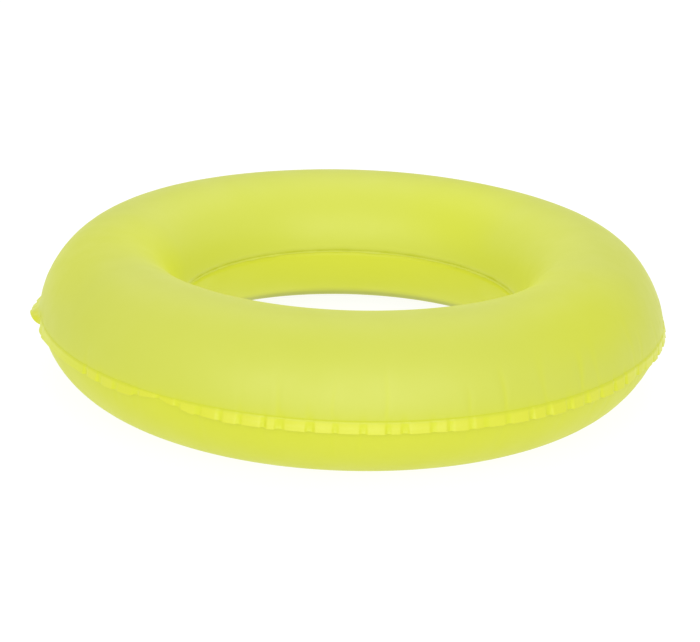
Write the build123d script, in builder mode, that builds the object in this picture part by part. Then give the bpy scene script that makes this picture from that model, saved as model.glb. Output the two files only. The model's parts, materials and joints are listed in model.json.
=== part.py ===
from build123d import *
import math
import os

# An inflated swim ring: two ring-shaped films welded together along an outer and an inner
# seam, with a small push-in air valve on the slope that faces the hole. Millimetres, +Z up,
# origin on the ring's axis at the surface that the ring rests on.

os.makedirs("parts", exist_ok=True)

# ---- the tube -------------------------------------------------------------------------
film = 0.3  # thickness of one film, so half the thickness of a weld
ring_radius = 181.5  # from the ring's axis to the tube's crest
half_width = 51.7  # crest to hole side
seam_reach = 52.7  # crest to outer seam
upper_height = 54.7  # the upper film's rise; the seams sit a little below the tube's middle
lower_height = 52.2
seam_slope = 4.0  # degrees between each film and the vertical where they meet at the seam
shoulder_pull = 29.1  # how far the outer shoulder stays nearly level with the crest
flank_pull = 28.0  # how far the flank stays nearly straight above and below the seam
contact_half_width = 4.0  # the lower film rests on a narrow flat band

outer_flange_width = 8.4  # along the flange, from the seam to its edge
outer_flange_root = 0.3  # level stretch before the flange turns down
outer_flange_bend = 0.8  # radius of the turn
outer_flange_droop = 70.0  # degrees below the horizontal
inner_flange_width = 3.0

# ---- the valve: heights are along its axis, over the film's outside --------------------
valve_angle = 40.0  # degrees above the weld, round the hole side of the section
weld_disc_radius = 15.0
weld_disc_thickness = 0.8
weld_disc_sweep = 25.0  # degrees of section on each side of the valve that holds the disc
cup_radius = 9.0  # outside of the recess that the stem is pushed into
cup_wall = 1.0
cup_depth = 5.0
cup_lip = 0.3
fit_gap = 0.05  # radial clearance of stem in cup, and of plug in stem
face_gap = 0.1  # clearance between faces that move apart

stem_radius = 4.5
stem_bore_radius = 3.2
stem_rim_radius = 6.5
stem_rim_base = 0.6
stem_top = 1.8
stem_bottom = -19.0
stop_bead_radius = 5.6
stop_bead_height = 1.6
shoulder_radius = 5.6
shoulder_height = 0.8

flap_radius = 4.3
flap_thickness = 0.6
flap_hinge_offset = 5.2  # from the stem's axis uphill to the flap's hinge line
flap_tab_width = 4.4

plug_head_radius = 5.4
plug_head_height = 1.6
plug_head_round = 0.4
plug_shank_length = 8.0
plug_tip_chamfer = 0.5
plug_recess_radius = 1.8
plug_recess_depth = 6.0

strap_width = 3.2
strap_thickness = 0.9
strap_reach = 12.2  # how far downhill the strap runs before it turns back
strap_low_leg = 1.2
strap_high_leg = 2.9
strap_end_gap = 0.2  # between the strap's end and the plug's head

# ---- places worked out from the above --------------------------------------------------
flat_angle = math.degrees(math.asin(contact_half_width / half_width))
lower_centre = lower_height * math.cos(math.radians(flat_angle))
weld_plane = lower_centre + film
upper_centre = weld_plane + film
seam_radius = ring_radius + seam_reach
hole_radius = ring_radius - half_width

cos_valve = math.cos(math.radians(valve_angle))
sin_valve = math.sin(math.radians(valve_angle))
valve_seat = Vector(0, -(ring_radius - half_width * cos_valve), upper_centre + upper_height * sin_valve)
valve_out = Vector(0, cos_valve / half_width, sin_valve / upper_height).normalized()
downhill = valve_out.cross(Vector(1, 0, 0))
valve_axis = Axis(valve_seat, valve_out)
valve_plane = Plane(valve_seat, x_dir=(1, 0, 0), z_dir=valve_out)
valve_section = Plane(valve_seat, x_dir=(1, 0, 0), z_dir=-downhill)
strap_section = Plane(valve_seat, x_dir=downhill, z_dir=(1, 0, 0))


def film_wall(centre, side, height, flat, inset):
    """Hole side, crest and outer flank of one film. side is 1 above the weld and -1 below,
    flat is the angle of section that is levelled at each side of the crest."""
    run = half_width - inset
    rise = height - inset
    half_flat = run * math.sin(math.radians(flat))
    crest = centre + side * rise * math.cos(math.radians(flat))
    seam = seam_radius - inset
    lean = flank_pull * math.tan(math.radians(seam_slope))
    EllipticalCenterArc(
        (ring_radius, centre), run, rise, start_angle=180, arc_size=-side * (90 - flat)
    )
    if half_flat > 0:
        Line((ring_radius - half_flat, crest), (ring_radius + half_flat, crest))
    Bezier(
        (ring_radius + half_flat, crest),
        (ring_radius + shoulder_pull, crest),
        (seam - lean, centre + side * flank_pull),
        (seam, centre),
    )


def film_section(centre, side, height, flat):
    """Closed outline of one film: its outside, its inside, and its two cut edges."""
    film_wall(centre, side, height, flat, 0)
    film_wall(centre, side, height, flat, film)
    Line((hole_radius, centre), (hole_radius + film, centre))
    Line((seam_radius - film, centre), (seam_radius, centre))


# Upper film, with the hole that the valve's cup comes through.
with BuildPart() as upper_skin:
    with BuildSketch(Plane.XZ):
        with BuildLine():
            film_section(upper_centre, 1, upper_height, 0)
        make_face()
    revolve(axis=Axis.Z)
    with BuildSketch(valve_plane):
        Circle(cup_radius)
    extrude(amount=cup_depth, both=True, mode=Mode.SUBTRACT)
upper_skin.part.label = "upper_skin"

# Lower film, levelled where it carries the ring.
with BuildPart() as lower_skin:
    with BuildSketch(Plane.XZ):
        with BuildLine():
            film_section(lower_centre, -1, lower_height, flat_angle)
        make_face()
    revolve(axis=Axis.Z)
lower_skin.part.label = "lower_skin"

# Outer weld: both films fused, level between the film edges, then drooping round the ring.
droop = math.radians(outer_flange_droop)
droop_length = outer_flange_width - outer_flange_root - outer_flange_bend * droop
with BuildPart() as outer_weld_flange:
    with BuildSketch(Plane.XZ):
        with BuildLine():
            root = Line(
                (seam_radius - film, weld_plane), (seam_radius + outer_flange_root, weld_plane)
            )
            bend = JernArc(
                root @ 1, root % 1, radius=outer_flange_bend, arc_size=-outer_flange_droop
            )
            Line(bend @ 1, bend @ 1 + droop_length * Vector(math.cos(droop), -math.sin(droop)))
        trace(line_width=2 * film)
    revolve(axis=Axis.Z)
outer_weld_flange.part.label = "outer_weld_flange"

# Inner weld: a narrow level margin that points into the hole.
with BuildPart() as inner_weld_flange:
    with BuildSketch(Plane.XZ):
        with Locations((hole_radius + film, weld_plane)):
            Rectangle(inner_flange_width + film, 2 * film, align=(Align.MAX, Align.CENTER))
    revolve(axis=Axis.Z)
inner_weld_flange.part.label = "inner_weld_flange"

# Valve base: a disc welded under the film that follows its curve, with the recessed cup.
disc_start = 180 - valve_angle - weld_disc_sweep
with BuildPart() as valve_base:
    with BuildSketch(Plane.XZ):
        with BuildLine():
            faces = []
            for inset in (film, film + weld_disc_thickness):
                face = EllipticalCenterArc(
                    (ring_radius, upper_centre), half_width - inset, upper_height - inset,
                    start_angle=disc_start, arc_size=2 * weld_disc_sweep,
                )
                faces.append(face)
            Line(faces[0] @ 0, faces[1] @ 0)
            Line(faces[0] @ 1, faces[1] @ 1)
        make_face()
    revolve(axis=Axis.Z)
    with BuildSketch(valve_plane):
        Circle(weld_disc_radius)
        Circle(cup_radius - cup_wall / 2, mode=Mode.SUBTRACT)
    extrude(amount=cup_depth, both=True, mode=Mode.INTERSECT)
    with BuildSketch(valve_section):
        with BuildLine():
            Polyline(
                (cup_radius - cup_wall, cup_lip),
                (cup_radius, cup_lip),
                (cup_radius, -cup_depth),
                (stem_radius + fit_gap, -cup_depth),
                (stem_radius + fit_gap, cup_wall - cup_depth),
                (cup_radius - cup_wall, cup_wall - cup_depth),
                close=True,
            )
        make_face()
    revolve(axis=valve_axis)
valve_base.part.label = "valve_base"

# Stem: slides in the cup's floor. The shoulder rests on the floor when the stem is pushed
# in, and the bead at its inner end stops it when it is pulled out.
shoulder_base = cup_wall - cup_depth + face_gap
bead_top = stem_bottom + stop_bead_height
with BuildPart() as valve_stem:
    with BuildSketch(valve_section):
        with BuildLine():
            Polyline(
                (stem_bore_radius, stem_top),
                (stem_rim_radius, stem_top),
                (stem_rim_radius, stem_rim_base),
                (stem_radius, stem_rim_base),
                (stem_radius, shoulder_base + shoulder_height),
                (shoulder_radius, shoulder_base + shoulder_height),
                (shoulder_radius, shoulder_base),
                (stem_radius, shoulder_base),
                (stem_radius, bead_top),
                (stop_bead_radius, bead_top),
                (stop_bead_radius, stem_bottom),
                (stem_bore_radius, stem_bottom),
                close=True,
            )
        make_face()
    revolve(axis=valve_axis)
valve_stem.part.label = "valve_stem"

# Check flap: a disc under the stem's inner end, on a tab that ends at its hinge line.
with BuildPart() as check_flap:
    with BuildSketch(valve_plane.offset(stem_bottom - face_gap)):
        Circle(flap_radius)
        Rectangle(flap_tab_width, flap_hinge_offset, align=(Align.CENTER, Align.MAX))
    extrude(amount=-flap_thickness)
check_flap.part.label = "check_flap"

# Plug: a flat head over the stem's rim and a hollow shank in the bore.
head_base = stem_top + face_gap
head_top = head_base + plug_head_height
shank_radius = stem_bore_radius - fit_gap
shank_tip = head_base - plug_shank_length
with BuildPart() as valve_plug:
    with BuildSketch(valve_section):
        with BuildLine():
            Polyline(
                (0, head_top),
                (plug_head_radius, head_top),
                (plug_head_radius, head_base),
                (shank_radius, head_base),
                (shank_radius, shank_tip + plug_tip_chamfer),
                (shank_radius - plug_tip_chamfer, shank_tip),
                (plug_recess_radius, shank_tip),
                (plug_recess_radius, shank_tip + plug_recess_depth),
                (0, shank_tip + plug_recess_depth),
                close=True,
            )
        make_face()
    revolve(axis=valve_axis)
    head_edges = valve_plug.edges().filter_by(GeomType.CIRCLE)
    fillet([edge for edge in head_edges if edge.radius == plug_head_radius], plug_head_round)
valve_plug.part.label = "valve_plug"

# Strap: moulded to the stem's rim, runs downhill, turns back and ends beside the plug's head.
turn_radius = (strap_high_leg - strap_low_leg) / 2
strap_end = plug_head_radius + strap_end_gap
with BuildPart() as plug_tether:
    with BuildSketch(strap_section):
        with BuildLine():
            low_leg = Line((stem_radius, strap_low_leg), (strap_reach, strap_low_leg))
            turn = JernArc(low_leg @ 1, low_leg % 1, radius=turn_radius, arc_size=180)
            Line(turn @ 1, (strap_end, strap_high_leg))
        trace(line_width=strap_thickness)
    extrude(amount=strap_width / 2, both=True)
    with BuildSketch(valve_plane.offset(stem_rim_base)):
        Circle(stem_rim_radius)
    extrude(amount=stem_top - stem_rim_base, mode=Mode.SUBTRACT)
plug_tether.part.label = "plug_tether"

pieces = (
    upper_skin, lower_skin, outer_weld_flange, inner_weld_flange, valve_base,
    valve_stem, check_flap, valve_plug, plug_tether,
)
for piece in pieces:
    export_step(piece.part, "parts/" + piece.part.label + ".step")
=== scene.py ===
import json
import math

import bmesh
import bpy
import numpy as np
from mathutils import Matrix, Vector


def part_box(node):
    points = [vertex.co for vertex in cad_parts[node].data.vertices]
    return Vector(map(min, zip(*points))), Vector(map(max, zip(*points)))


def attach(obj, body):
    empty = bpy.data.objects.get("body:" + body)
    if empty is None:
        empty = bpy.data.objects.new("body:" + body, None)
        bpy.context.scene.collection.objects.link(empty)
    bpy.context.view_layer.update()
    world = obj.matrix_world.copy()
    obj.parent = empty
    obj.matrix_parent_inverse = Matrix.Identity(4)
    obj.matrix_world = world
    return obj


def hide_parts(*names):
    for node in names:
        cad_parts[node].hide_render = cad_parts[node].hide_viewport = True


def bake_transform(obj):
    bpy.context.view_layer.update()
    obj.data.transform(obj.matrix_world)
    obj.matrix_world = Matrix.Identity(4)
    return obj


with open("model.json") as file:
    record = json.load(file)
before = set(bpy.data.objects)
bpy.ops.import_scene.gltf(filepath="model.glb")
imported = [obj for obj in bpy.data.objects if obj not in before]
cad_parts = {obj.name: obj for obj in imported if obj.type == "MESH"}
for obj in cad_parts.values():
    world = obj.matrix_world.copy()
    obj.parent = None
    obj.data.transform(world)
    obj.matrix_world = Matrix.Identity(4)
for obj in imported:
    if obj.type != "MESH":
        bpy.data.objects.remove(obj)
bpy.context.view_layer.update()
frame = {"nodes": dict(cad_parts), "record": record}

MM = 0.001
scene = bpy.context.scene

# ---- sizes, in metres: the tube's are those of the CAD section --------------------------
FILM = 0.3 * MM
RING_RADIUS = 181.5 * MM  # axis to the tube's crest
HALF_WIDTH = 51.7 * MM
SEAM_REACH = 52.7 * MM
SEAM_SLOPE = math.radians(4)
SHOULDER_PULL = 29.1 * MM
FLANK_PULL = 28.0 * MM
CONTACT_HALF_WIDTH = 4.0 * MM
SEAM_RADIUS = RING_RADIUS + SEAM_REACH
HOLE_RADIUS = RING_RADIUS - HALF_WIDTH

upper_low, upper_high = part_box("upper_skin")
lower_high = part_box("lower_skin")[1]
UPPER_CENTRE = upper_low.z
UPPER_HEIGHT = upper_high.z - upper_low.z
LOWER_CENTRE = lower_high.z
CONTACT_ANGLE = math.asin(CONTACT_HALF_WIDTH / HALF_WIDTH)
LOWER_HEIGHT = LOWER_CENTRE / math.cos(CONTACT_ANGLE)
WELD_PLANE = (UPPER_CENTRE + LOWER_CENTRE) / 2

SWELL = 0.35 * MM  # slow unevenness of the upper film round the ring
FLANGE_ROOT = 0.3 * MM  # level stretch before the flange turns down
FLANGE_BEND = 0.9 * MM  # radius of the turn
FLANGE_FILLET = 1.3 * MM  # how high the upper film runs out onto the flange
PRESSED_DEPTH = 0.09 * MM  # of the weld line in each face of the flange
INNER_WIDTH = 0.7 * MM
INNER_FILLET = 0.35 * MM
INNER_PRESSED_DEPTH = 0.08 * MM

# How many columns of points each band has round the ring.
FILM_COLUMNS = 1200
FLANGE_COLUMNS = 2400
INNER_COLUMNS = 1200

# The valve, in mm: heights are over the film's outside, along the valve's axis.
VALVE_ANGLE = math.radians(40)  # above the weld, round the hole side of the section
STEM_TOP = 1.8
STEM_RIM = 6.5
PLUG_HEAD = 5.4
STRAP_WIDTH = 3.2
STRAP_THICKNESS = 0.9
STRAP_REACH = 12.2
STRAP_LOW = 1.2
STRAP_HIGH = 2.9
VALVE_COLUMNS = 96
DISC_HOLE = 14.6 * MM  # radius of the hole in the upper film that the fused disc closes
CUTTER_DEPTH = 24 * MM

# ---- the gathers round the outer seam: angles in degrees, 270 is the front --------------
# The margin is gathered into flat facets with folds between them. The turned-out lobe and
# the long calm stretch beside it are placed, as (middle, width in mm). All the others are
# drawn at random from these widths in mm.
PLACED_FACETS = ((190, 26), (209, 84))
FACET_WIDTHS = (6, 15)
FOLD_WIDTHS = (3, 5.5)
CALM_HALF = 8  # degrees: a facet whose half is longer lies calm and catches no light
SEAM_SHARE = 0.35  # how much of the flange's gathers is already there at the seam
# How far the flange turns down, in degrees below the horizontal.
DROOP = (
    (0, 80), (20, 74), (60, 70), (174, 66), (181, 48), (186, 30), (189.4, 10), (191, 22),
    (193.4, 82), (196, 66), (204, 80), (210, 84), (232, 80), (240, 74), (270, 74), (300, 74),
    (322, 80), (331, 86), (345, 84), (352, 78),
)
# How wide the flange stands, in mm.
WIDTH = (
    (0, 8.4), (184, 8.2), (189.6, 7.4), (193, 6.2), (197, 8.0), (206, 7.0), (222, 6.8),
    (226, 7.6), (231, 6.6), (234, 4.4), (237.8, 2.8), (240.5, 4.6), (245, 7.2), (251, 8.2),
    (322, 8.4), (331, 7.6), (338, 8.2),
)
# How far the weld, with the films beside it, stands out past the plain section, in mm.
REACH = (
    (0, 2.5), (18, 1.4), (50, 0), (150, 0), (172, 0.5), (186, 0.5), (196, 0), (328, 0.2),
    (338, 1.4), (346, 2.4),
)
REACH_FADE = 22  # mm up or down the film over which that dies away
# Some folds run on up the film as a long crease: what share of them, and the creases' mm.
CREASE_CHANCE = 0.5
CREASE_LENGTHS = (16, 38)
CREASE_DEPTHS = (0.15, 0.45)

# Painted shade: the hole's wall is darker and glows less up to here, where it curls under at the foot to
# the floor.
FOOT_SHADE_HEIGHT = 15.5 * MM
FOOT_SHADE_FADE = 8.0 * MM

random = np.random.default_rng(61)


def smooth_step(x):
    x = np.clip(x, 0, 1)
    return x * x * (3 - 2 * x)


def round_table(table, angles):
    """Values of a short table at these angles, eased between its entries and round the ring."""
    keys = np.array([row[0] for row in table] + [table[0][0] + 360], float)
    values = np.array([row[1] for row in table] + [table[0][1]], float)
    at = np.mod(angles - keys[0], 360) + keys[0]
    i = np.clip(np.searchsorted(keys, at, side="right") - 1, 0, len(keys) - 2)
    share = smooth_step((at - keys[i]) / (keys[i + 1] - keys[i]))
    return values[i] * (1 - share) + values[i + 1] * share


def round_blur(values, sigma):
    """A ring of values blurred along its length, sigma in samples."""
    n = values.shape[0]
    wave = np.fft.rfftfreq(n)
    return np.fft.irfft(np.fft.rfft(values) * np.exp(-2 * (math.pi * wave * sigma) ** 2), n)


def facets():
    """Every facet round the ring: its middle and half width in degrees, and its character."""
    degree = math.radians(1) * SEAM_RADIUS / MM
    placed = [(middle, width / 2 / degree) for middle, width in PLACED_FACETS]
    full_turn = placed[0][0] - placed[0][1] + 360
    at = sum(placed[-1])
    while True:
        at += random.uniform(*FOLD_WIDTHS) / degree
        half = random.uniform(*FACET_WIDTHS) / 2 / degree
        if at + 2 * half > full_turn:
            break
        placed.append((at + half, half))
        at += 2 * half
    rows = []
    for middle, half in placed:
        rows.append({
            "middle": middle % 360,
            "half": half,
            "tilt": random.uniform(-0.4, 0.4),
            "stand": random.uniform(-0.3, 0.3),
            "drop": random.uniform(-0.3, 0.35),
            "light": random.uniform(0, 1) if half < CALM_HALF else 0,
            "calm": 0.75 if half > CALM_HALF else 0,
        })
    return rows


def gathers(count):
    """Fields round the ring: how far each place stands out (mm), is folded in or lies calm
    (0 to 1, which the weld's colour turns into painted shade), hangs lower (mm), and catches the
    light (0 to 1, which the weld's colour turns into a painted highlight)."""
    angles = np.arange(count) * 360 / count
    mm_per_degree = math.radians(1) * SEAM_RADIUS / MM
    flat = np.zeros(count)
    out, drop, light, calm = np.zeros(count), np.zeros(count), np.zeros(count), np.zeros(count)
    for facet in FACETS:
        offset = np.mod(angles - facet["middle"] + 180, 360) - 180
        inside = (facet["half"] - np.abs(offset)) * mm_per_degree
        share = smooth_step(inside / 1.1 + 0.5)
        flat = np.maximum(flat, share)
        out += share * (facet["stand"] + facet["tilt"] * offset / facet["half"])
        drop += share * facet["drop"]
        light += share * facet["light"]
        calm += share * facet["calm"]
    fold = 1 - flat
    depth = 0.95 + 0.3 * np.sin(np.radians(angles * 7 + 40)) + 0.25 * np.sin(np.radians(angles * 17))
    out -= fold * depth
    drop -= fold * 0.4
    samples_per_mm = count / (2 * math.pi * SEAM_RADIUS / MM)
    return (
        round_blur(out, 0.6 * samples_per_mm),
        round_blur(fold + calm, 0.55 * samples_per_mm),
        round_blur(drop, 0.6 * samples_per_mm),
        round_blur(light, 0.4 * samples_per_mm),
    )


def arc_length(points):
    steps = np.hypot(*np.diff(points, axis=0).T)
    return np.concatenate(([0], np.cumsum(steps)))


def film_curve(side, centre, height, flat, inset):
    """The section of one film from the outer seam over the crest to the hole side, finely."""
    run, rise = HALF_WIDTH - inset, height - inset
    half_flat = run * math.sin(flat)
    crest = centre + side * rise * math.cos(flat)
    seam = SEAM_RADIUS - inset
    lean = FLANK_PULL * math.tan(SEAM_SLOPE)
    a = np.array((seam, centre))
    b = np.array((seam - lean, centre + side * FLANK_PULL))
    c = np.array((RING_RADIUS + SHOULDER_PULL, crest))
    d = np.array((RING_RADIUS + half_flat, crest))
    t = np.linspace(0, 1, 600)[:, None]
    outer = a * (1 - t) ** 3 + 3 * b * t * (1 - t) ** 2 + 3 * c * t * t * (1 - t) + d * t ** 3
    angle = np.linspace(math.pi / 2 + flat, math.pi, 600)
    inner = np.stack((
        RING_RADIUS + run * np.cos(angle),
        centre + side * rise * np.sin(angle),
    ), axis=1)
    return np.concatenate((outer, inner[1:] if half_flat == 0 else inner))


def film_rows(total, fine_at=None):
    """Distances from the outer seam of the film's rows: close at the gathers, and, where
    fine_at is given, close round the valve too."""
    rows, at = [0.0], 0.0
    while at < total:
        step = min(0.8 * MM + 0.09 * at, 4.4 * MM)
        if fine_at is not None and abs(at - fine_at) < 20 * MM:
            step = min(step, 2.0 * MM)
        at += step
        rows.append(at)
    rows = np.array(rows)
    return rows * total / rows[-1]


def sample(curve, distances):
    """Points of a fine curve at these distances along it."""
    along = arc_length(curve)
    share = distances / distances[-1] * along[-1]
    return np.stack([np.interp(share, along, curve[:, k]) for k in (0, 1)], axis=1)


def puckers(distances, columns, crease_seed):
    """Outward displacement (m) of the film, rows by columns: the flange's gathers run into
    the film, fade and blur with distance, and a few long creases go on."""
    angles = np.arange(columns) * 360 / columns
    out = gathers(columns)[0]
    samples_per_mm = columns / (2 * math.pi * SEAM_RADIUS / MM)
    draw = np.random.default_rng(crease_seed)
    creases = []
    for facet in FACETS:
        if draw.uniform() < CREASE_CHANCE:
            edge = facet["middle"] + facet["half"]
            creases.append((edge, draw.uniform(*CREASE_LENGTHS), draw.uniform(*CREASE_DEPTHS)))
    field = np.zeros((len(distances), columns))
    for i, far in enumerate(distances / MM):
        fade = math.exp(-far / 7)
        field[i] = SEAM_SHARE * round_blur(out, (0.6 + 0.35 * far) * samples_per_mm) * fade
        for angle, length, depth in creases:
            if far > length * 1.5:
                continue
            wander = 0.25 * math.sin(far / 9 + angle)
            offset = (np.mod(angles - angle - wander + 180, 360) - 180) * math.radians(SEAM_RADIUS / MM)
            width = 1.5 + far * 0.09
            shape = np.exp(-(offset / width) ** 2) - 0.45 * np.exp(-(offset / width / 2.2) ** 2)
            rise = smooth_step(far / 5) * smooth_step((1.5 * length - far) / length)
            field[i] -= depth * rise * shape
    return field * MM


def mesh_object(name, vertices, faces, attributes=None, smooth=True):
    mesh = bpy.data.meshes.new(name)
    mesh.from_pydata([tuple(v) for v in vertices], [], faces)
    mesh.update()
    if smooth:
        mesh.polygons.foreach_set("use_smooth", [True] * len(mesh.polygons))
    for key, values in (attributes or {}).items():
        layer = mesh.attributes.new(key, "FLOAT", "POINT")
        layer.data.foreach_set("value", np.asarray(values, np.float32).ravel())
    made = bpy.data.objects.new(name, mesh)
    scene.collection.objects.link(made)
    return made


def ring_faces(rows, columns, flip=False):
    """Quads of a closed band: rows x columns points, closed both ways round."""
    i = np.arange(rows)[:, None]
    j = np.arange(columns)[None, :]
    up, along = (i + 1) % rows, (j + 1) % columns
    corners = np.stack((i * columns + j, i * columns + along, up * columns + along, up * columns + j), -1)
    faces = corners.reshape(-1, 4)
    return (faces[:, ::-1] if flip else faces).tolist()


def revolve_points(radius, height, columns):
    """Rows x columns points from the radius and height of each, which may be one column."""
    angle = np.arange(columns) * 2 * math.pi / columns
    radius = np.broadcast_to(radius, (radius.shape[0], columns))
    height = np.broadcast_to(height, (height.shape[0], columns))
    return np.stack((radius * np.cos(angle), radius * np.sin(angle), height), -1).reshape(-1, 3)


def film_shell(name, side, centre, height, flat, fine_at, crease_seed):
    """One film as a closed shell: its outer face, and its inner face one film away."""
    outer_curve = film_curve(side, centre, height, flat, 0)
    inner_curve = film_curve(side, centre, height, flat, FILM)
    total = arc_length(outer_curve)[-1]
    rows = film_rows(total, fine_at)
    kept = np.unique(np.concatenate((np.arange(0, len(rows), 3), [len(rows) - 1])))
    outer = sample(outer_curve, rows)
    inner = sample(inner_curve, rows)[kept]
    move = puckers(rows, FILM_COLUMNS, crease_seed)
    angles = np.arange(FILM_COLUMNS) * 2 * math.pi / FILM_COLUMNS
    swell = SWELL * (np.sin(3 * angles + 1) + 0.6 * np.sin(5 * angles + side))
    edge = smooth_step(rows / (40 * MM)) * smooth_step((total - rows) / (30 * MM))
    move = move + edge[:, None] * swell * (0 if flat else 1)
    tangent = np.gradient(outer, axis=0)
    normal = np.stack((tangent[:, 1], -tangent[:, 0]), 1) * side
    normal /= np.hypot(*normal.T)[:, None]
    outward = outer[:, 0] > RING_RADIUS
    normal[outward & (normal[:, 0] < 0)] *= -1
    reach = round_table(REACH, np.degrees(angles)) * MM
    reach = np.exp(-(rows / (REACH_FADE * MM)) ** 2)[:, None] * reach
    points = []
    for base, order in ((outer, np.arange(len(rows))), (inner[::-1], kept[::-1])):
        radius = base[:, :1] + move[order] * normal[order][:, :1] + reach[order]
        level = base[:, 1:] + move[order] * normal[order][:, 1:]
        points.append(revolve_points(radius, level, FILM_COLUMNS))
    count = len(rows) + len(kept)
    # Painted shade: fold and seam deepen the colour in the puckers' valleys and along the outer seam.
    fold = np.concatenate((-move / MM, np.zeros((len(kept), FILM_COLUMNS))))
    near = np.concatenate((np.exp(-rows / (6 * MM)), np.zeros(len(kept))))[:, None]
    section = np.concatenate((outer, inner[::-1]))
    # Painted light: this mask raises the glow round the hole, for the light that comes through both
    # walls.
    hole = smooth_step((RING_RADIUS + 10 * MM - section[:, :1]) / (45 * MM))
    # Painted shade: this mask darkens the hole's wall near the floor, where it curls under.
    foot = hole * smooth_step((FOOT_SHADE_HEIGHT - section[:, 1:]) / FOOT_SHADE_FADE)
    return mesh_object(
        name,
        np.concatenate(points),
        ring_faces(count, FILM_COLUMNS, flip=side < 0),
        {
            "fold": np.clip(fold, -1, 1),
            "seam": np.broadcast_to(near, fold.shape),
            "hole": np.broadcast_to(hole, fold.shape),
            "foot": np.broadcast_to(foot, fold.shape),
        },
    )


def between(share, start, end, blend):
    """1 between two shares of a width and 0 outside them, with soft edges."""
    return smooth_step((share - start) / blend) * smooth_step((end - share) / blend)


def flange(name):
    """The outer weld: both films fused, gathered into facets and folds, trimmed at its edge."""
    angles = np.arange(FLANGE_COLUMNS) * 360 / FLANGE_COLUMNS
    out, fold, drop, light = gathers(FLANGE_COLUMNS)
    droop = np.radians(round_table(DROOP, angles))
    width = (round_table(WIDTH, angles) + drop) * MM
    reach = round_table(REACH, angles) * MM
    along = np.array((
        0, .015, .03, .05, .08, .12, .18, .25, .33, .42, .51, .6, .68, .76, .83, .89, .94, .975, 1,
    ))
    radii, levels, folds, lights, roots = [], [], [], [], []

    def surface(share, lift, fillet=0):
        length = share * width
        bent = np.clip((length - FLANGE_ROOT) / FLANGE_BEND, 0, droop)
        straight = np.maximum(0, length - FLANGE_ROOT - FLANGE_BEND * droop)
        radius = SEAM_RADIUS + reach - FILM + np.minimum(length, FLANGE_ROOT)
        radius = radius + FLANGE_BEND * np.sin(bent) + straight * np.cos(droop)
        level = WELD_PLANE - FLANGE_BEND * (1 - np.cos(bent)) - straight * np.sin(droop)
        spread = SEAM_SHARE + (1 - SEAM_SHARE) * smooth_step((share - 0.05) / 0.8)
        across = np.maximum(bent, 0.6 * droop)
        moved = out * MM * spread
        radii.append(radius + moved * np.sin(across) + lift * np.sin(bent))
        levels.append(level + moved * np.cos(across) * 0.6 + lift * np.cos(bent) + fillet)
        folds.append(fold * smooth_step(share / 0.2))
        lights.append(light * smooth_step(share / 0.25))
        roots.append(np.full(FLANGE_COLUMNS, 1 - smooth_step((share - 0.08) / 0.2)))

    for share in along:
        fillet = FLANGE_FILLET * math.exp(-share / 0.10)
        surface(share, FILM - PRESSED_DEPTH * between(share, 0.12, 0.62, 0.06), fillet)
    surface(1.012, 0.12 * MM)
    surface(0.985, 0)
    surface(1.012, -0.12 * MM)
    for share in along[::-1]:
        surface(share, -FILM + PRESSED_DEPTH * between(share, 0.12, 0.62, 0.06))
    points = revolve_points(np.array(radii), np.array(levels), FLANGE_COLUMNS)
    return mesh_object(
        name,
        points,
        ring_faces(len(radii), FLANGE_COLUMNS, flip=True),
        {"fold": np.array(folds), "light": np.array(lights), "root": np.array(roots)},
    )


def inner_flange(name):
    """The inner weld: a narrow margin that points into the hole, a little wavy."""
    angles = np.radians(np.arange(INNER_COLUMNS) * 360 / INNER_COLUMNS)
    wave = np.zeros(INNER_COLUMNS)
    for number, size in ((9, .25), (17, .3), (31, .28), (46, .2), (73, .12)):
        wave += size * np.sin(number * angles + random.uniform(0, 6.28))
    ragged = 0.2 * np.sin(23 * angles + 1) + 0.15 * np.sin(39 * angles)
    radii, levels = [], []
    shares = np.array((-0.1, 0, .12, .25, .4, .55, .7, .84, .95, 1))
    for half in (1, -1):
        for share in shares[::half]:
            thin = FILM - INNER_PRESSED_DEPTH * between(share, 0.2, 0.8, 0.1)
            round_off = 1 - 0.5 * smooth_step((share - 0.9) / 0.1)
            reach = share * (INNER_WIDTH + ragged * MM * max(share, 0))
            radii.append(HOLE_RADIUS - reach)
            fillet = INNER_FILLET * math.exp(-max(share, 0) / 0.4)
            levels.append(
                WELD_PLANE + wave * MM * max(share, 0) ** 1.5 + half * (thin * round_off + fillet)
            )
    points = revolve_points(np.array(radii), np.array(levels), INNER_COLUMNS)
    return mesh_object(name, points, ring_faces(len(radii), INNER_COLUMNS))


# ---- materials --------------------------------------------------------------------------
def new_material(name):
    material = bpy.data.materials.new(name)
    material.use_nodes = True
    tree = material.node_tree
    tree.nodes.clear()
    output = tree.nodes.new("ShaderNodeOutputMaterial")
    shader = tree.nodes.new("ShaderNodeBsdfPrincipled")
    tree.links.new(shader.outputs["BSDF"], output.inputs["Surface"])
    return material, tree, shader


def noise(tree, scale, detail=3.0, roughness=0.5):
    texture = tree.nodes.new("ShaderNodeTexNoise")
    texture.inputs["Scale"].default_value = scale
    texture.inputs["Detail"].default_value = detail
    texture.inputs["Roughness"].default_value = roughness
    coordinates = tree.nodes.new("ShaderNodeTexCoord")
    tree.links.new(coordinates.outputs["Object"], texture.inputs["Vector"])
    return texture.outputs["Fac"]


def ramp(tree, value, low, high, out_low, out_high):
    node = tree.nodes.new("ShaderNodeMapRange")
    node.inputs["From Min"].default_value = low
    node.inputs["From Max"].default_value = high
    node.inputs["To Min"].default_value = out_low
    node.inputs["To Max"].default_value = out_high
    tree.links.new(value, node.inputs["Value"])
    return node.outputs["Result"]


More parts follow.
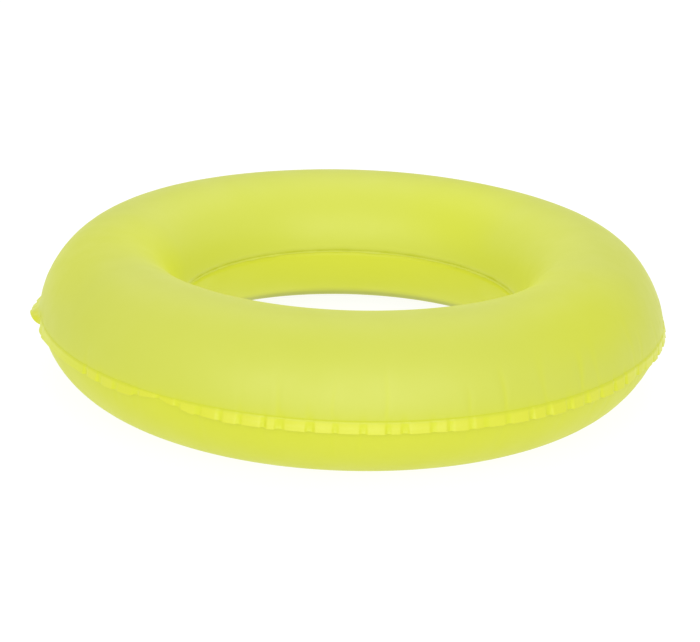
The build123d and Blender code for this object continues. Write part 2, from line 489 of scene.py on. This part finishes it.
def mix_colour(tree, factor, first, second):
    node = tree.nodes.new("ShaderNodeMix")
    node.data_type = "RGBA"
    for name, value in (("Factor", factor), ("A", first), ("B", second)):
        socket = [s for s in node.inputs if s.name == name and s.enabled][0]
        if isinstance(value, bpy.types.NodeSocket):
            tree.links.new(value, socket)
        else:
            socket.default_value = (*value, 1) if isinstance(value, tuple) else value
    return [s for s in node.outputs if s.enabled][0]


def attribute(tree, name):
    node = tree.nodes.new("ShaderNodeAttribute")
    node.attribute_name = name
    return node.outputs["Fac"]


def bump(tree, shader, layers):
    """Bump nodes one after another: (height socket, distance in m, strength)."""
    normal = None
    for height, distance, strength in layers:
        node = tree.nodes.new("ShaderNodeBump")
        node.inputs["Distance"].default_value = distance
        node.inputs["Strength"].default_value = strength
        tree.links.new(height, node.inputs["Height"])
        if normal is not None:
            tree.links.new(normal, node.inputs["Normal"])
        normal = node.outputs["Normal"]
    tree.links.new(normal, shader.inputs["Normal"])


# The two films are one vinyl in lit copies: the upper film's bluer, paler colour is a painted sheen of
# its lit top, and the lower film's brighter red and green and its stronger glow are painted light from
# the floor below.
UPPER_COLOUR = (0.264, 0.289, 0.036)
UPPER_PALE = (0.270, 0.293, 0.044)
LOWER_COLOUR = (0.288, 0.308, 0.008)
LOWER_PALE = (0.294, 0.312, 0.012)
# Painted shade at the foot of the hole's wall: a darker colour and a weaker glow.
FOOT_SHADE_COLOUR = (0.150, 0.165, 0.006)
FOOT_SHADE_GLOW = (0.46, 0.51, 0.015)
# Painted shade colour of the film's puckers and outer seam.
FILM_SHADE_DEEP = (0.290, 0.316, 0.003)
# Painted shade in the weld's folds.
FOLD_SHADE_COLOUR = (0.312, 0.336, 0.003)
FACET_COLOUR = (0.318, 0.330, 0.008)
# Painted highlight on the facets that catch the light.
FACET_HIGHLIGHT = (0.328, 0.338, 0.015)
# Painted shade at the weld's root.
ROOT_SHADE_COLOUR = (0.272, 0.296, 0.006)
# Colour of the painted glow, an even emission on every vinyl.
GLOW = (0.72, 0.775, 0.03)
VINYL_IOR = 1.48


def neon_vinyl(shader, strength):
    """What every vinyl shares: its refraction, and a painted glow, an even emission that stands for the
    light the neon pigment gives back and the light that comes through the thin vinyl.
    """
    shader.inputs["IOR"].default_value = VINYL_IOR
    shader.inputs["Emission Color"].default_value = (*GLOW, 1)
    shader.inputs["Emission Strength"].default_value = strength


def film_material(name, colour, pale, glow, hole_glow):
    """Neon film with painted light: a painted glow, stronger round the hole, stands for the light
    that comes through both walls; painted shade deepens its colour in the puckers, along the
    outer seam and at the foot, where it curls under to the floor."""
    material, tree, shader = new_material(name)
    mottle = ramp(tree, noise(tree, 14, 4), 0.35, 0.65, 0, 1)
    colour = mix_colour(tree, mottle, colour, pale)
    # Painted shade: deeper colour in the puckers' valleys and along the outer seam.
    fold = ramp(tree, attribute(tree, "fold"), 0.05, 0.6, 0, 0.9)
    colour = mix_colour(tree, fold, colour, FILM_SHADE_DEEP)
    colour = mix_colour(tree, ramp(tree, attribute(tree, "seam"), 0, 1, 0, 0.55), colour, FILM_SHADE_DEEP)
    # Painted shade at the foot: a darker colour here, and a weaker glow below.
    foot = attribute(tree, "foot")
    tree.links.new(mix_colour(tree, foot, colour, FOOT_SHADE_COLOUR), shader.inputs["Base Color"])
    tree.links.new(ramp(tree, noise(tree, 45, 5), 0.3, 0.7, 0.46, 0.54), shader.inputs["Roughness"])
    bump(tree, shader, [
        (noise(tree, 30, 3), 0.6 * MM, 0.25),
        (noise(tree, 900, 2), 0.05 * MM, 0.25),
    ])
    neon_vinyl(shader, hole_glow)
    # Painted light: the glow is stronger round the hole.
    outer_glow = tuple(part * glow / hole_glow for part in GLOW)
    light = mix_colour(tree, attribute(tree, "hole"), outer_glow, GLOW)
    tree.links.new(mix_colour(tree, foot, light, FOOT_SHADE_GLOW), shader.inputs["Emission Color"])
    return material


def weld_material(name, glow):
    """The fused margin, with painted light: a painted highlight makes the facets that catch the light
    paler, and painted shade deepens the colour in the folds and at the root.
    """
    material, tree, shader = new_material(name)
    # Painted highlight: facets that catch the light are paler.
    light = ramp(tree, attribute(tree, "light"), 0.1, 1, 0, 1)
    colour = mix_colour(tree, light, FACET_COLOUR, FACET_HIGHLIGHT)
    # Painted shade: deeper colour in the folds and at the root.
    fold = ramp(tree, attribute(tree, "fold"), 0.1, 0.7, 0, 1)
    colour = mix_colour(tree, fold, colour, FOLD_SHADE_COLOUR)
    colour = mix_colour(tree, attribute(tree, "root"), colour, ROOT_SHADE_COLOUR)
    tree.links.new(colour, shader.inputs["Base Color"])
    tree.links.new(ramp(tree, noise(tree, 80, 4), 0.3, 0.7, 0.34, 0.46), shader.inputs["Roughness"])
    bump(tree, shader, [(noise(tree, 220, 3), 0.15 * MM, 0.4)])
    neon_vinyl(shader, glow)
    return material


def moulding_material(name, colour, pale, glow):
    """Milky moulded vinyl of the valve."""
    material, tree, shader = new_material(name)
    mottle = ramp(tree, noise(tree, 120, 4), 0.3, 0.7, 0, 1)
    tree.links.new(mix_colour(tree, mottle, colour, pale), shader.inputs["Base Color"])
    tree.links.new(ramp(tree, noise(tree, 300, 3), 0.3, 0.7, 0.3, 0.42), shader.inputs["Roughness"])
    bump(tree, shader, [(noise(tree, 1500, 2), 0.03 * MM, 0.3)])
    neon_vinyl(shader, glow)
    return material


def give(piece, material):
    piece.data.materials.clear()
    piece.data.materials.append(material)


# ---- camera: the ring from the front, a little above it ---------------------------------
VIEW_DISTANCE = 1.383
VIEW_ELEVATION = math.radians(19.15)
VIEW_ROLL = math.radians(1.717)
VIEW_LENS = 92.98  # mm, on a sensor 36 mm wide
TUBE_MIDDLE = 0.0542
LOOK_LOWER = 0.0167  # how far below the tube's middle the camera aims

camera = bpy.data.objects.new("camera", bpy.data.cameras.new("camera"))
scene.collection.objects.link(camera)
scene.camera = camera
camera.data.lens = VIEW_LENS
camera.data.sensor_width = 36
middle = Vector((0, 0, TUBE_MIDDLE))
toward_camera = Vector((0, -math.cos(VIEW_ELEVATION), math.sin(VIEW_ELEVATION)))
camera.location = middle + VIEW_DISTANCE * toward_camera
aim = middle - Vector((0, 0, LOOK_LOWER)) - camera.location
turn = aim.to_track_quat("-Z", "Y") @ Matrix.Rotation(VIEW_ROLL, 3, "Z").to_quaternion()
camera.rotation_mode = "QUATERNION"
camera.rotation_quaternion = turn
camera.data.clip_start = 0.02
camera.data.clip_end = 50

# ---- the films and welds ----------------------------------------------------------------
FACETS = facets()

upper_total = arc_length(film_curve(1, UPPER_CENTRE, UPPER_HEIGHT, 0, 0))[-1]
valve_at = upper_total - VALVE_ANGLE * (HALF_WIDTH + UPPER_HEIGHT) / 2

upper_film = film_shell("upper_film", 1, UPPER_CENTRE, UPPER_HEIGHT, 0, valve_at, 0)
lower_film = film_shell("lower_film", -1, LOWER_CENTRE, LOWER_HEIGHT, CONTACT_ANGLE, None, 5)
outer_flange = flange("outer_flange")
inner_margin = inner_flange("inner_flange")

# Each film's last two numbers: how strongly its painted glow shines at the outside, and round the hole.
upper_look = film_material("neon_film_upper", UPPER_COLOUR, UPPER_PALE, 0.33, 0.42)
lower_look = film_material("neon_film_lower", LOWER_COLOUR, LOWER_PALE, 0.36, 0.43)
weld_look = weld_material("neon_weld", 0.34)
# Painted highlight: the inner margin glows more than the films, for the light its edge catches.
margin_look = film_material("neon_margin", UPPER_COLOUR, UPPER_PALE, 0.42, 0.46)
for piece, node, look, slot in (
    (upper_film, "upper_skin", upper_look, "film"),
    (lower_film, "lower_skin", lower_look, "film"),
    (outer_flange, "outer_weld_flange", weld_look, "weld"),
    (inner_margin, "inner_weld_flange", margin_look, "weld"),
):
    give(piece, look)
    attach(piece, "ring")
    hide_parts(node)

# ---- the valve --------------------------------------------------------------------------
port = [mount for mount in frame["record"]["mounts"] if mount["name"] == "inflation_port"][0]
VALVE_OUT = Vector(port["axis"]).normalized()
VALVE_SEAT = Vector(port["pos_m"]) - STEM_TOP * MM * VALVE_OUT
ACROSS = Vector((1, 0, 0))
DOWNHILL = VALVE_OUT.cross(ACROSS)


def valve_points(u, v, h):
    """World places of points across, downhill and out from the valve's seat."""
    u, v, h = (np.asarray(value, float)[..., None] for value in np.broadcast_arrays(u, v, h))
    return np.array(VALVE_SEAT) + u * np.array(ACROSS) + v * np.array(DOWNHILL) + h * np.array(VALVE_OUT)


def film_level(u, v):
    """Height of the film's outside over the valve's plane, found by halving."""
    low = np.full(np.shape(u), -8 * MM)
    high = np.full(np.shape(u), 4 * MM)
    for _ in range(40):
        half = (low + high) / 2
        x, y, z = np.moveaxis(valve_points(u, v, half), -1, 0)
        across = (np.hypot(x, y) - RING_RADIUS) / HALF_WIDTH
        inside = across ** 2 + ((z - UPPER_CENTRE) / UPPER_HEIGHT) ** 2 < 1
        low, high = np.where(inside, half, low), np.where(inside, high, half)
    return low


def rounded(outline, radius=0.22, closed=True, steps=5):
    """An outline of (radius, height, follow) rows with each corner turned into a small arc."""
    rows = [np.array(row, float) for row in outline]
    result = []
    for i, corner in enumerate(rows):
        if not closed and i in (0, len(rows) - 1):
            result.append(corner)
            continue
        before, after = rows[i - 1] - corner, rows[(i + 1) % len(rows)] - corner
        long_before, long_after = np.hypot(*before[:2]), np.hypot(*after[:2])
        start = corner + before * min(radius / long_before, 0.45)
        end = corner + after * min(radius / long_after, 0.45)
        for t in np.linspace(0, 1, steps + 1):
            result.append(start * (1 - t) ** 2 + 2 * corner * t * (1 - t) + end * t * t)
    return result


def turned(name, outline, closed=True):
    """A moulding turned about the valve's axis. A row is (radius, height) in mm and how far
    the row follows the film's curve, from 0 to 1. An open outline starts and ends on the axis."""
    angle = np.arange(VALVE_COLUMNS) * 2 * math.pi / VALVE_COLUMNS
    vertices, rings = [], []
    for radius, height, follow in rounded(outline, closed=closed):
        count = VALVE_COLUMNS if radius > 0 else 1
        u, v = radius * MM * np.cos(angle[:count]), radius * MM * np.sin(angle[:count])
        rings.append(np.arange(len(vertices), len(vertices) + count))
        vertices.extend(valve_points(u, v, height * MM + follow * film_level(u, v)))
    faces = []
    for low, high in zip(rings, rings[1:] + rings[:1] if closed else rings[1:]):
        for k in range(VALVE_COLUMNS):
            n = k + 1
            corners = (low[k % len(low)], low[n % len(low)], high[n % len(high)], high[k % len(high)])
            faces.append(tuple(dict.fromkeys(int(c) for c in corners)))
    return tidy_normals(mesh_object(name, vertices, faces))


def tidy_normals(piece):
    work = bmesh.new()
    work.from_mesh(piece.data)
    bmesh.ops.recalc_face_normals(work, faces=work.faces)
    work.to_mesh(piece.data)
    work.free()
    return piece


def cut_round_hole(piece, radius):
    """A round hole along the valve's axis, cut through the film."""
    work = bmesh.new()
    place = Matrix.Translation(VALVE_SEAT) @ VALVE_OUT.to_track_quat("Z", "Y").to_matrix().to_4x4()
    bmesh.ops.create_cone(
        work, cap_ends=True, segments=VALVE_COLUMNS, radius1=radius, radius2=radius,
        depth=CUTTER_DEPTH, matrix=place,
    )
    mesh = bpy.data.meshes.new("cutter")
    work.to_mesh(mesh)
    work.free()
    cutter = bpy.data.objects.new("cutter", mesh)
    scene.collection.objects.link(cutter)
    cut = piece.modifiers.new("hole", "BOOLEAN")
    cut.operation = "DIFFERENCE"
    cut.solver = "EXACT"
    cut.object = cutter
    drawn = piece.evaluated_get(bpy.context.evaluated_depsgraph_get())
    plain = piece.data
    piece.data = bpy.data.meshes.new_from_object(drawn)
    piece.modifiers.clear()
    bpy.data.meshes.remove(plain)
    bpy.data.objects.remove(cutter)
    bpy.data.meshes.remove(mesh)


def strap(name):
    """The plug's strap: a flat band out of the stem's rim, round a turn, into the plug's head."""
    turn = (STRAP_HIGH - STRAP_LOW) / 2
    bend = np.linspace(-math.pi / 2, math.pi / 2, 41)
    path = [(v, STRAP_LOW) for v in np.linspace(STEM_RIM - 0.9, STRAP_REACH, 14)[:-1]]
    path += [(STRAP_REACH + turn * math.cos(a), STRAP_LOW + turn + turn * math.sin(a)) for a in bend]
    path += [(v, STRAP_HIGH) for v in np.linspace(STRAP_REACH, PLUG_HEAD - 0.5, 14)[1:]]
    path = np.array(path) * MM
    ahead = np.gradient(path, axis=0)
    ahead /= np.hypot(*ahead.T)[:, None]
    round_section = np.linspace(0, 2 * math.pi, 24, endpoint=False)
    a = np.sign(np.cos(round_section)) * np.abs(np.cos(round_section)) ** 0.35
    b = np.sign(np.sin(round_section)) * np.abs(np.sin(round_section)) ** 0.6
    vertices = []
    for i, ((v, h), (tv, th)) in enumerate(zip(path, ahead)):
        waist = 1 - 0.22 * math.sin(math.pi * i / (len(path) - 1))
        side = b * STRAP_THICKNESS * MM / 2
        vertices.extend(valve_points(a * STRAP_WIDTH * MM / 2 * waist, v - th * side, h + tv * side))
    size = len(a)
    faces = [tuple(range(size)), tuple(range(len(vertices) - 1, len(vertices) - size - 1, -1))]
    for i in range(len(path) - 1):
        for k in range(size):
            n = (k + 1) % size
            faces.append((i * size + k, (i + 1) * size + k, (i + 1) * size + n, i * size + n))
    return tidy_normals(mesh_object(name, vertices, faces))


# Fused disc, collar and recessed cup: the film and the disc under it are one layer here.
BASE_OUTLINE = (
    (15.5, -0.08, 1), (15.2, 0.26, 1), (14.3, 0.32, 1), (14.1, 0.14, 1), (13.3, 0.14, 1),
    (13.1, 0.32, 1), (12.2, 0.32, 1), (12.0, 0.14, 1), (11.2, 0.14, 1), (11.0, 0.32, 1),
    (9.6, 0.32, 1), (9.2, 0.75, 0.9), (8.7, 0.95, 0.85), (8.2, 0.8, 0.8), (8.0, 0.2, 0.5),
    (7.95, -3.5, 0), (7.4, -4.0, 0), (4.6, -4.0, 0), (4.6, -5.0, 0), (8.6, -5.0, 0),
    (9.0, -4.5, 0), (9.0, -1.7, 0.8), (9.7, -1.1, 1), (14.9, -1.1, 1), (15.3, -0.6, 1),
)
STEM_OUTLINE = (
    (3.2, 1.5, 0), (3.55, 1.8, 0), (6.1, 1.8, 0), (6.5, 1.45, 0), (6.5, 0.9, 0), (6.2, 0.6, 0),
    (4.5, 0.6, 0), (4.5, -3.1, 0), (5.6, -3.2, 0), (5.6, -3.9, 0), (4.5, -3.9, 0),
    (4.5, -17.4, 0), (5.6, -17.6, 0), (5.6, -19.0, 0), (3.2, -19.0, 0),
)
PLUG_OUTLINE = (
    (0, 3.15, 0), (1.9, 3.2, 0), (2.5, 3.45, 0), (4.5, 3.5, 0), (5.2, 3.3, 0), (5.4, 2.9, 0),
    (5.4, 2.3, 0), (5.1, 1.92, 0), (3.15, 1.92, 0), (3.15, -5.5, 0), (2.7, -6.1, 0),
    (1.8, -6.1, 0), (1.8, -0.1, 0), (0, -0.1, 0),
)

cut_round_hole(upper_film, DISC_HOLE)
valve_look = moulding_material("valve_vinyl", (0.50, 0.54, 0.10), (0.54, 0.57, 0.16), 0.16)
disc_look = moulding_material("valve_disc_vinyl", (0.42, 0.45, 0.05), (0.45, 0.47, 0.09), 0.24)
for piece, node, body, look in (
    (turned("valve_socket", BASE_OUTLINE), "valve_base", "ring", disc_look),
    (turned("air_stem", STEM_OUTLINE), "valve_stem", "stem", valve_look),
    (turned("air_plug", PLUG_OUTLINE, closed=False), "valve_plug", "plug", valve_look),
):
    give(piece, look)
    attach(piece, body)
    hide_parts(node)

plug_strap = strap("plug_strap")
give(plug_strap, valve_look)
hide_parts("plug_tether")
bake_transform(plug_strap)

# The check flap keeps its CAD shape.
flap = frame["nodes"]["check_flap"]
flap.data.materials.clear()
flap.data.materials.append(valve_look)

# ---- studio -----------------------------------------------------------------------------
FLOOR_REACH = 16.0
FLOOR_STEPS = 24
FLOOR_COLOUR = (0.15, 0.15, 0.15)
FLOOR_PALE = (0.17, 0.17, 0.17)
FLOOR_GLOW = 0.88
WORLD_LIGHT = 0.9
LIGHT_TARGET = (0, 0, 0.05)


def studio_floor():
    """A plain white floor, partly lit by itself, so wide that its edge is never in view."""
    line = np.linspace(-FLOOR_REACH, FLOOR_REACH, FLOOR_STEPS + 1)
    vertices = [(x, y, 0.0) for y in line for x in line]
    row = FLOOR_STEPS + 1
    faces = [
        (j * row + i, j * row + i + 1, (j + 1) * row + i + 1, (j + 1) * row + i)
        for j in range(FLOOR_STEPS) for i in range(FLOOR_STEPS)
    ]
    floor = mesh_object("studio_floor", vertices, faces, smooth=False)
    material, tree, shader = new_material("white_floor")
    grain = ramp(tree, noise(tree, 3, 2), 0.3, 0.7, 0, 1)
    tree.links.new(mix_colour(tree, grain, FLOOR_COLOUR, FLOOR_PALE), shader.inputs["Base Color"])
    shader.inputs["Roughness"].default_value = 0.9
    shader.inputs["Specular IOR Level"].default_value = 0.1
    shader.inputs["Emission Color"].default_value = (1, 1, 1, 1)
    shader.inputs["Emission Strength"].default_value = FLOOR_GLOW
    floor.data.materials.append(material)


def soft_light(name, place, size, power):
    """A soft rectangular light that faces the ring, its power in watts."""
    light = bpy.data.lights.new(name, "AREA")
    light.shape = "RECTANGLE"
    light.size, light.size_y = size
    light.energy = power
    made = bpy.data.objects.new(name, light)
    made.location = place
    made.rotation_mode = "QUATERNION"
    made.rotation_quaternion = (Vector(LIGHT_TARGET) - Vector(place)).to_track_quat("-Z", "Y")
    scene.collection.objects.link(made)


studio_floor()
soft_light("front_softbox", (0, -2.2, 1.08), (4.0, 1.5), 41)
soft_light("low_softbox", (0, -2.35, 0.50), (2.6, 0.7), 8)
soft_light("top_softbox", (0, 0.9, 1.9), (2.6, 1.8), 13)
world = bpy.data.worlds.new("studio")
world.use_nodes = True
background = world.node_tree.nodes["Background"]
background.inputs["Color"].default_value = (1, 1, 1, 1)
background.inputs["Strength"].default_value = WORLD_LIGHT
scene.world = world
scene.view_settings.view_transform = "Standard"
